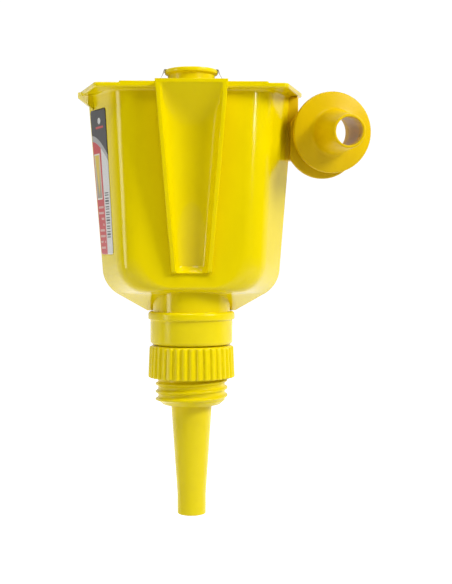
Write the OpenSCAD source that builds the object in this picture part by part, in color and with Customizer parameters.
// Funnel: a flat-backed bowl with a quarter-turn shut-off valve, a threaded
// filler plug, a tapered spout, a stored nozzle and a push-on adapter.
// The origin is the centre of the spout's lower end. +Z is up, the flat back faces -Y,
// the pour lip points to -X and the parked adapter is on the +X side.

/* [Bowl] */
// Height of the rim above the spout's lower end
rim_z = 265; // [255:1:275]
// Thickness of the moulded walls
wall = 2; // [1.6:0.1:2.4]
// Distance from the funnel's axis to the flat back
back_y = 29.4; // [28:0.2:31]
// Front-to-back depth of the bowl
bowl_depth = 72; // [68:1:76]
// Half width of the bowl's widest line at the rim
wide_top = 64.8; // [62:0.2:67]
// Half width of the bowl's widest line at its lower corners
wide_low = 56; // [54:0.2:58]
// Half width of the flat back at the rim, to its corners before they are rounded
corner_top = 45.4; // [44:0.2:47]
// Half width of the flat back at its lower corners, before they are rounded
corner_low = 41.6; // [40:0.2:43]
// Radius of the lower corners
low_round = 19.5; // [17:0.5:22]
// Radius of the upright corners of the flat back
side_round = 20; // [17:0.5:22]

/* [Rim] */
// Thickness of the rim flange
rim_t = 3; // [2:0.5:4]
// Overhang of the rim flange
rim_out = 5; // [4:0.5:6]
// Half width of the rim flange along the flat back
rim_corner_x = 57.6; // [56:0.2:60]
// Reach of the pour lip from the funnel's axis
lip_reach = 70.8; // [70:0.2:73]
// Half width of the pour lip
lip_half_w = 6.5; // [5:0.5:9]

/* [Nozzle holder] */
// Half width of the holder at the rim
holder_top = 21.4; // [20:0.2:23]
// Half width of the holder at its lower end
holder_low = 12.1; // [11:0.1:14]
// How far the holder stands out from the flat back at the rim
holder_out = 19.5; // [18:0.5:21]
// Distance from the funnel's axis to the stored nozzle's axis
nozzle_y = 21; // [20.8:0.1:21.6]

/* [Neck and valve] */
// Outer radius of the neck
neck_r = 24.2; // [23.8:0.1:24.6]
// Inner radius of the neck
neck_bore_r = 21; // [20.5:0.1:21]
// Outer radius of the valve housing
housing_r = 25.7; // [25.4:0.1:26]
// Outer radius of the knurled nut, over its ribs, at its lower edge
nut_r = 27.1; // [26.8:0.1:27.6]
// Number of ribs on the nut
nut_ribs = 36; // [30:1:40]

/* [Filler thread and spout] */
// Crest radius of the filler thread
thread_r = 22.6; // [22.4:0.1:22.7]
// Pitch of the filler thread
thread_pitch = 4.8; // [4:0.1:5]
// Radius of the spout where it leaves the threaded plug
spout_top_r = 12.8; // [12:0.1:13]
// Radius of the spout's straight end
spout_tip_r = 9; // [8.5:0.1:9.5]
// Length of the spout's straight end
spout_tip_l = 12.7; // [10:0.1:15]

/* [Adapter] */
// Radius of the adapter's flange
adapter_r = 25; // [23:0.5:26]
// Swing of the adapter's axis away from the bowl
adapter_yaw = 10.2; // [9:0.1:14]
// Dip of the adapter's nose
adapter_dip = 5; // [4:0.1:9]

/* [Hidden] */
$fn = 96;

eps = 0.01;
thin = 0.1;                        // thickness of the slices that a hull spans
slack = 0.05;                      // radial clearance of a running fit

// Bowl slices, front to back
wide_y = bowl_depth / 2 - back_y;  // where the bowl is widest
front_floor_z = 143;               // lower edge of the flat back
floor_drop = 4;                    // fall of that edge over its rounding
keel_z = 127.7;                    // lowest line of the bowl's floor
keel_x = 27.8;                     // half length of that line
floor_slope = 32;                  // slope of the floor towards the neck
wide_corner_z = 155;               // centre of the wide slice's lower corners
corner_steps = 8;
round_steps = 5;
turn = atan2(bowl_depth / 2, wide_top - corner_top);   // from the flat back to the side wall
round_off = bowl_depth / 2 - side_round;   // the rounding's centre, from the widest line
round_x = corner_top - side_round * tan(turn / 2);

// Neck and housing heights
spigot_z = 113;                    // lower end of the neck's spigot
bead_top_z = 127.6;
bead_low_z = 122.6;
bead_r = 27.07;
neck_spigot_r = 23;
housing_z = 107;
housing_chamfer = 2;
housing_ledge_z = 111.8;           // the neck seal and the strainer rest here
housing_bore_r = 20;
strainer_z = housing_ledge_z + 0.02;
journal_r = 21.5;                  // the nut turns on this
journal_z = 94;
journal_bore_r = 19.5;
web_z = 98;                        // valve seat web
web_t = 2.4;
pivot_r = 1.5;
port_r0 = 6.5;                     // inner and outer radius of the valve's ports
port_r1 = 17;
port_angle = 84;
ring_groove_z = 100;               // groove of the ring that keeps the nut on
ring_groove_h = 2.4;
ring_groove_d = 0.8;
seal_groove_z = 96;                // groove of the nut's seal
seal_groove_h = 2;
seal_groove_d = 1.3;
nut_ring_r = 0.62;                 // section radius of the nut's seal
seat_t = 0.8;                      // thickness of the seat's seal
disc_z = 94.5;
disc_t = 2.6;
dog_w = 4.9;                       // the plug's dogs turn the disc
dog_h = 5.4;
screw_z = 92.6;
screw_head_r = 3.2;
screw_head_t = 1.7;

// Nut heights
nut_top_z = 106.4;
nut_low_z = 86.3;
nut_draft = 0.8;
rib_r = 1.55;
nut_web_t = 3.2;
flange_r = 23.9;                   // flange of the threaded plug
flange_z = nut_low_z + nut_web_t;
flange_t = 3;

// Threaded plug
plug_z = 69.4;
thread_depth = 1.6;
plug_floor_t = 3;
plug_bore_r = 16.9;
spout_flange_r = 16.85;
spout_flange_t = 3;
spout_ring_r = 0.7;                // section radius of the spout's seal

// Stored nozzle
nozzle_flange_r = 16;
nozzle_r = 14.2;
nozzle_top_z = rim_z + 9;
nozzle_flange_t = 3;
nozzle_shoulder_z = rim_z - 16;
nozzle_tip_z = 172;
nozzle_tip_r = 5.2;
nozzle_wall = 1.6;
pocket_gap = 0.35;

// Adapter and its holder
adapter_at = [87.4, -10.2, 238.4];
adapter_nose_l = 33;
adapter_tip_r = 10;
adapter_tip_bore_r = 8.4;
shoulder_r = 13.5;
barrel_r = 14.6;
barrel_bore_r = 12.8;
barrel_l = 14.5;
holder_r = 23.65;
holder_t = 4;
holder_back = 9;                   // gap from the adapter's flange to the holder's far face
holder_shift = [-3.2, -5.2];       // the holder disc's centre, off its bore
grip_r = 0.5;                      // section radius of the grip ring
grip_s = -holder_back - holder_t / 2;   // the grip ring's place on the adapter's axis

// An arc as points, from angle a0 to a1
function arc(cx, cz, r, a0, a1, n) =
    [for (i = [0:n]) [cx + r * cos(a0 + (a1 - a0) * i / n), cz + r * sin(a0 + (a1 - a0) * i / n)]];

function mirrored(pts) = [for (i = [len(pts) - 1:-1:0]) [-pts[i][0], pts[i][1]]];

// Right half of one slice: drafted side, rounded lower corner
function slice_half(top_x, low_x, corner_z, r, sweep, top_z) =
    concat([[top_x, top_z]], arc(low_x - r, corner_z, r, 0, -sweep, corner_steps));

// A thin upright slice of the bowl at y
module slice(y, top_x, low_x, corner_z, r, sweep, top_z, keel) {
    half = concat(slice_half(top_x, low_x, corner_z, r, sweep, top_z), keel);
    translate([0, y, 0]) rotate([90, 0, 0]) linear_extrude(thin, center = true)
        polygon(concat(half, mirrored(half)));
}

// Half width of the bowl's side wall at a distance off from its widest line
function side_line(wide_x, corner_x, off) = wide_x - (wide_x - corner_x) * off / (bowl_depth / 2);

// The bowl's body, grown outwards by g and drawn up to top_z
module bowl_body(g, top_z) {
    rise = (top_z - rim_z) / (rim_z - wide_corner_z);
    r = low_round + g;
    hull() {
        for (side = [-1, 1], i = [0:round_steps]) {
            a = turn * i / round_steps;
            off = round_off + side_round * cos(a);
            inset = side_line(wide_top, corner_top, off) - round_x - side_round * sin(a);
            top_x = round_x + (side_round + g) * sin(a);
            low_x = side_line(wide_low, corner_low, off) - inset + g * sin(a);
            low_z = front_floor_z - floor_drop * sin(a) / sin(turn);
            slice(wide_y + side * (off + g * cos(a)), top_x + (top_x - low_x) * rise, low_x,
                  low_z + low_round, r, 90, top_z, []);
        }
        slice(wide_y, wide_top + g + (wide_top - wide_low) * rise, wide_low + g, wide_corner_z,
              r, 90 - floor_slope, top_z, [[keel_x, keel_z - g]]);
    }
}

// Outline of the rim flange
function rim_outline() =
    let (x0 = rim_corner_x, x1 = wide_top + rim_out, y0 = wide_y - bowl_depth / 2 - rim_out,
         y1 = wide_y + bowl_depth / 2 + rim_out, c = 2)
    [[x0 - c, y0], [x0 + 0.3 * c, y0 + c], [x1, wide_y - c / 2], [x1, wide_y + c / 2],
     [x0 + 0.3 * c, y1 - c], [x0 - c, y1], [c - x0, y1], [-x0 - 0.3 * c, y1 - c],
     [-x1, wide_y + c / 2], [-x1, wide_y - c / 2], [-x0 - 0.3 * c, y0 + c], [c - x0, y0]];

// Pour lip at the -X corner, grown outwards by g
module lip(g) {
    root_x = wide_top - 4;
    tip_x = lip_reach + g;
    translate([0, wide_y, 0]) rotate([90, 0, 0])
        linear_extrude(2 * (lip_half_w + g), center = true)
        polygon([[-root_x, rim_z], [-tip_x, rim_z], [-tip_x, rim_z - rim_t - g],
                 [-root_x - 3.4, rim_z - 9.3 - g], [-root_x, rim_z - 12 - g]]);
}

// Block that holds the stored nozzle, through the flat back
module holder_block() {
    front = back_y + holder_out;
    low_z = 151.6;
    intersection() {
        rotate([90, 0, 0]) linear_extrude(200, center = true)
            polygon([[-holder_top, rim_z], [holder_top, rim_z], [holder_low, low_z],
                     [-holder_low, low_z]]);
        rotate([90, 0, 90]) linear_extrude(200, center = true)
            polygon([[-front, rim_z], [-3.5, rim_z], [-10.5, 168], [-back_y + 6, 158],
                     [-back_y + 6, low_z], [-back_y - 2.2, low_z], [-back_y - 3.2, low_z + 1]]);
    }
}

// The hollow in the holder's outer face
module holder_hollow() {
    top_z = rim_z - 2.2;
    low_z = 151.2;
    ledge = 11;                    // rise of the floor at the lower end
    scoop = 52;                    // fall of the floor at the upper end
    top_w = 18.7;
    top_d = 10;
    low_w = 9.4;
    low_d = 7.2;
    top_r = (top_w * top_w + top_d * top_d) / (2 * top_d);
    low_r = (low_w * low_w + low_d * low_d) / (2 * low_d);
    top_c = -back_y - holder_out - top_r + top_d;
    low_c = -back_y - 3.2 - low_r + low_d;
    h = top_z - low_z;
    tilt = atan((low_c - top_c) / h);
    intersection() {
        translate([0, low_c, low_z]) rotate([tilt, 0, 0])
            translate([0, 0, -6])
            cylinder(h = h / cos(tilt) + 12, r1 = low_r - 0.75, r2 = top_r + 1.5);
        rotate([90, 0, 90]) linear_extrude(200, center = true)
            polygon([[-90, top_z], [-back_y - holder_out + 0.5, top_z], [-20, top_z - scoop],
                     [-20, low_z + ledge], [-back_y - 3.4, low_z], [-90, low_z]]);
    }
}

module nozzle_pocket() {
    r = nozzle_r + pocket_gap;
    tip = nozzle_tip_r + pocket_gap;
    translate([0, -nozzle_y, 0]) {
        translate([0, 0, nozzle_shoulder_z]) cylinder(h = rim_z - nozzle_shoulder_z + 1, r = r);
        translate([0, 0, nozzle_tip_z - 0.02])
            cylinder(h = nozzle_shoulder_z - nozzle_tip_z + 0.02, r1 = tip, r2 = r);
    }
}

module bowl() color("gold") {
    difference() {
        union() {
            bowl_body(0, rim_z);
            translate([0, 0, rim_z - rim_t]) linear_extrude(rim_t) polygon(rim_outline());
            lip(0);
            translate([-43, -back_y - rim_out, rim_z - eps]) cube([89, rim_out + wall, 0.8]);
            translate([0, 0, spigot_z]) cylinder(h = 30, r = neck_spigot_r);
            translate([0, 0, bead_top_z]) cylinder(h = 16, r = neck_r);
            holder_block();
        }
        difference() {
            union() {
                bowl_body(-wall, rim_z + 1);
                translate([0, 0, 1]) lip(-wall);
            }
            holder_block();
        }
        translate([0, 0, spigot_z - 1]) cylinder(h = 32, r = neck_bore_r);
        holder_hollow();
        nozzle_pocket();
    }
}

module strainer_frame() color("gold") {
    z = strainer_z;
    difference() {
        translate([0, 0, z]) cylinder(h = 9, r = neck_bore_r - 0.3);
        translate([0, 0, z + 1.2]) cylinder(h = 9, r = neck_bore_r - 2);
        translate([0, 0, z - 1]) cylinder(h = 3, r = neck_bore_r - 4.5);
    }
    bar_l = 2 * (neck_bore_r - 4);
    bar_w = 1.8;
    for (a = [0, 90]) rotate(a) translate([-bar_l / 2, -bar_w / 2, z]) cube([bar_l, bar_w, 1.2]);
}

module strainer_mesh() color("silver")
    translate([0, 0, strainer_z + 1.2]) difference() {
        cylinder(h = 0.5, r = neck_bore_r - 2.02);
        mesh_step = 5.6;
        for (i = [-3:3], j = [-3:3])
            if (norm([i, j]) < 3) translate([i * mesh_step, j * mesh_step, 0])
                cube([4.6, 4.6, 3], center = true);
    }

// A valve disc blank with two opposite ports, turned by a
module ported(r, t, a) {
    difference() {
        cylinder(h = t, r = r);
        for (s = [0, 180]) rotate(a + s - port_angle / 2) translate([0, 0, -1])
            rotate_extrude(angle = port_angle) translate([port_r0, 0])
            square([port_r1 - port_r0, t + 2]);
        translate([0, 0, -1]) cylinder(h = t + 2, r = pivot_r + slack);
    }
}

module valve_housing() color("gold") {
    rotate_extrude() polygon([
        [housing_bore_r, housing_ledge_z], [neck_spigot_r, housing_ledge_z],
        [neck_spigot_r, bead_top_z], [bead_r - 0.8, bead_top_z], [bead_r, bead_top_z - 0.8],
        [bead_r, bead_low_z + 0.8], [bead_r - 0.8, bead_low_z], [housing_r, bead_low_z],
        [housing_r, housing_z + housing_chamfer], [housing_r - housing_chamfer, housing_z],
        [journal_r, housing_z], [journal_r, ring_groove_z + ring_groove_h],
        [journal_r - ring_groove_d, ring_groove_z + ring_groove_h],
        [journal_r - ring_groove_d, ring_groove_z], [journal_r, ring_groove_z],
        [journal_r, seal_groove_z + seal_groove_h],
        [journal_r - seal_groove_d, seal_groove_z + seal_groove_h],
        [journal_r - seal_groove_d, seal_groove_z], [journal_r, seal_groove_z], [journal_r, journal_z],
        [journal_bore_r, journal_z], [journal_bore_r, housing_z], [housing_bore_r - 0.5, housing_z]]);
    translate([0, 0, web_z]) ported(journal_bore_r + 0.2, web_t, 0);
}

module neck_seal() color("dimgray")
    rotate_extrude() translate([neck_bore_r + 0.1, housing_ledge_z])
        square([neck_spigot_r - neck_bore_r - 0.2, spigot_z - housing_ledge_z]);

module valve_seat_seal() color("dimgray")
    translate([0, 0, web_z - seat_t]) ported(journal_bore_r - 0.1, seat_t, 0);

module valve_pivot_screw() color("silver") {
    slot_l = 4;
    slot_w = 0.8;
    translate([0, 0, screw_z]) cylinder(h = web_z + web_t - screw_z, r = pivot_r);
    difference() {
        translate([0, 0, screw_z]) cylinder(h = screw_head_t, r = screw_head_r);
        for (a = [0, 90]) rotate(a) translate([-slot_l / 2, -slot_w / 2, screw_z - 1])
            cube([slot_l, slot_w, 2]);
    }
}

module nut_o_ring() color("dimgray")
    translate([0, 0, seal_groove_z + seal_groove_h / 2]) rotate_extrude()
        translate([journal_r - nut_ring_r - 0.03, 0]) circle(r = nut_ring_r);

module valve_disc() color("gold") {
    difference() {
        translate([0, 0, disc_z]) ported(journal_bore_r - 0.3, disc_t, 0);
        for (s = [0, 180]) rotate(90 + s) translate([16.5, -dog_w / 2 - 0.15, disc_z - 0.5])
            cube([4, dog_w + 0.3, 2]);
    }
}

module coupling_nut() color("gold") {
    top_r = nut_r - nut_draft;
    h = nut_top_z - nut_low_z;
    difference() {
        union() {
            translate([0, 0, nut_low_z]) cylinder(h = h - 1, r1 = nut_r - 1.1, r2 = top_r - 1.1);
            translate([0, 0, nut_top_z - 1]) cylinder(h = 1, r1 = top_r - 1.1, r2 = top_r - 1.8);
            intersection() {
                for (i = [0:nut_ribs - 1]) rotate(i * 360 / nut_ribs)
                    translate([nut_r - rib_r, 0, nut_low_z]) rotate([0, -atan(nut_draft / h), 0])
                    cylinder(h = h, r = rib_r, $fn = 24);
                translate([0, 0, nut_low_z]) cylinder(h = h - 0.6, r = nut_r + 2);
            }
        }
        translate([0, 0, nut_low_z - 1]) cylinder(h = 8, r = thread_r + 0.12);
        translate([0, 0, flange_z]) cylinder(h = journal_z + 0.6 - flange_z, r = flange_r);
        translate([0, 0, flange_z]) cylinder(h = 30, r = journal_r + slack);
        translate([0, 0, ring_groove_z + 0.1]) cylinder(h = ring_groove_h - 0.2, r = journal_r + 1.4);
    }
}

// Split ring that keeps the nut on the housing
module retaining_ring() color("whitesmoke")
    translate([0, 0, ring_groove_z + 0.15]) difference() {
        split_w = 3;
        cylinder(h = ring_groove_h - 0.3, r = journal_r + 1.35);
        translate([0, 0, -1]) cylinder(h = 5, r = journal_r - ring_groove_d + 0.06);
        translate([journal_r - 6.5, -split_w / 2, -1]) cube([12, split_w, 5]);
    }

module flange_gasket() color("dimgray")
    translate([0, 0, flange_z + flange_t]) rotate_extrude()
        translate([journal_bore_r + 0.2, 0]) square([flange_r - journal_bore_r - 0.4, 1.4]);

module threaded_plug() color("gold") {
    root = thread_r - thread_depth;
    half = thread_pitch / 2;
    difference() {
        union() {
            translate([0, 0, flange_z]) cylinder(h = flange_t, r = flange_r);
            translate([0, 0, plug_z + 2]) cylinder(h = flange_z - plug_z - 1, r = root);
            translate([0, 0, plug_z]) cylinder(h = 2.01, r1 = root - 2.6, r2 = root);
            for (i = [0:2]) translate([0, 0, plug_z + 3.2 + i * thread_pitch])
                rotate_extrude() polygon([[root - 1, 0], [root - 1, half + 1.2], [root, half + 0.9],
                                          [thread_r, half * 0.75], [thread_r, half * 0.4], [root, 0]]);
            for (s = [0, 180]) rotate(90 + s) translate([plug_bore_r, -dog_w / 2, flange_z + 1])
                cube([2.2, dog_w, dog_h]);
        }
        translate([0, 0, plug_z + plug_floor_t]) cylinder(h = 30, r = plug_bore_r);
        translate([0, 0, plug_z - 1]) cylinder(h = 6, r = spout_top_r + 0.02);
    }
}

module spout_o_ring() color("dimgray")
    translate([0, 0, plug_z + plug_floor_t + spout_flange_t + spout_ring_r + 0.02]) rotate_extrude()
        translate([spout_flange_r - spout_ring_r - 0.05, 0]) circle(r = spout_ring_r);

module spout() color("gold") {
    top = plug_z + plug_floor_t;
    tip_bore = spout_tip_r - 1.7;
    top_bore = spout_top_r - 1.8;
    rotate_extrude() polygon([
        [tip_bore, 0], [spout_tip_r, 0], [spout_tip_r, spout_tip_l],
        [spout_top_r, plug_z - 0.5], [spout_top_r, top], [spout_flange_r, top],
        [spout_flange_r, top + spout_flange_t], [top_bore, top + spout_flange_t],
        [top_bore, plug_z - 2], [tip_bore, spout_tip_l]]);
}

module stored_nozzle() color("gold")
    translate([0, -nozzle_y, 0]) rotate_extrude() polygon([
        [nozzle_tip_r - nozzle_wall, nozzle_tip_z], [nozzle_tip_r, nozzle_tip_z],
        [nozzle_r, nozzle_shoulder_z], [nozzle_r, nozzle_top_z - nozzle_flange_t],
        [nozzle_flange_r, nozzle_top_z - nozzle_flange_t + 0.6], [nozzle_flange_r, nozzle_top_z - 0.6],
        [nozzle_flange_r - 0.6, nozzle_top_z], [nozzle_r - nozzle_wall, nozzle_top_z],
        [nozzle_r - nozzle_wall, nozzle_shoulder_z]]);

module clear_tape() color("lightgray") {
    t = 0.15;
    lift = 0.12;
    width = 12;
    foot_x = 21.2;                 // outer end of each foot
    bend_x = 20.6;                 // the foot turns up here
    top_x = nozzle_flange_r + 0.3;
    top = nozzle_top_z + 0.02;
    foot_z = rim_z + lift;
    half = [[top_x, top], [bend_x, foot_z], [foot_x, foot_z], [foot_x, foot_z + t],
            [bend_x + 0.1, foot_z + t], [top_x + 0.1, top + t]];
    translate([0, -nozzle_y + 1.5, 0]) rotate([90, 0, 0]) linear_extrude(width, center = true)
        polygon(concat(half, mirrored(half)));
}

// Puts an adapter piece, drawn along +Z from its flange's face, on the parked axis
module parked() translate(adapter_at) rotate([90 + adapter_dip, 0, adapter_yaw]) children();

// The holder's disc, a pad on the bowl's side corner and the web between them
module adapter_holder() color("gold") {
    pad_x0 = 58.5;
    pad_x1 = 67.1;
    pad_y = 0.5;
    pad_z = 222;
    web_x = 61.6;                  // the disc and the web stop here, beside the wall
    web_y = -3.2;
    web_h = 24;
    difference() {
        union() {
            intersection() {
                parked() translate([holder_shift[0], holder_shift[1], -holder_back - holder_t])
                    cylinder(h = holder_t, r = holder_r);
                translate([web_x, -60, pad_z - 40]) cube([80, 80, 80]);
            }
            translate([web_x, web_y, pad_z]) cube([pad_x1 - web_x, pad_y - web_y + 1, web_h]);
            translate([pad_x0, pad_y, pad_z]) cube([pad_x1 - pad_x0, 9, rim_z - rim_t - pad_z - 0.02]);
        }
        parked() translate([0, 0, -60]) cylinder(h = 80, r = barrel_r + slack);
        bowl_body(0.02, rim_z + 5);
    }
}

module adapter() color("gold")
    parked() rotate_extrude() polygon([
        [adapter_tip_bore_r, adapter_nose_l], [adapter_tip_r, adapter_nose_l],
        [adapter_tip_r + 0.8, adapter_nose_l - 1], [shoulder_r, 3.2], [shoulder_r + 1.2, 2.2],
        [adapter_r - 0.6, 0.4], [adapter_r, -0.4], [adapter_r, -3], [adapter_r - 0.6, -3.6],
        [barrel_r, -3.6], [barrel_r, grip_s + grip_r], [barrel_r - 2 * grip_r, grip_s + grip_r],
        [barrel_r - 2 * grip_r, grip_s - grip_r], [barrel_r, grip_s - grip_r],
        [barrel_r, -barrel_l + 1], [barrel_r - 0.8, -barrel_l],
        [barrel_bore_r, -barrel_l], [barrel_bore_r, -2], [adapter_tip_bore_r + 2, 0],
        [adapter_tip_bore_r, adapter_nose_l - 8]]);

module adapter_grip_ring() color("dimgray")
    parked() translate([0, 0, grip_s]) rotate_extrude()
        translate([barrel_r - grip_r, 0]) circle(r = grip_r);

module label() color("whitesmoke")
    difference() {
        intersection() {
            bowl_body(0.32, rim_z);
            translate([-90, -15.5, 163]) cube([50, 21, 89.6]);
        }
        bowl_body(0.03, rim_z + 5);
    }

bowl();
strainer_frame();
strainer_mesh();
valve_housing();
neck_seal();
valve_seat_seal();
valve_pivot_screw();
nut_o_ring();
valve_disc();
coupling_nut();
retaining_ring();
flange_gasket();
threaded_plug();
spout_o_ring();
spout();
stored_nozzle();
clear_tape();
adapter_holder();
adapter();
adapter_grip_ring();
label();
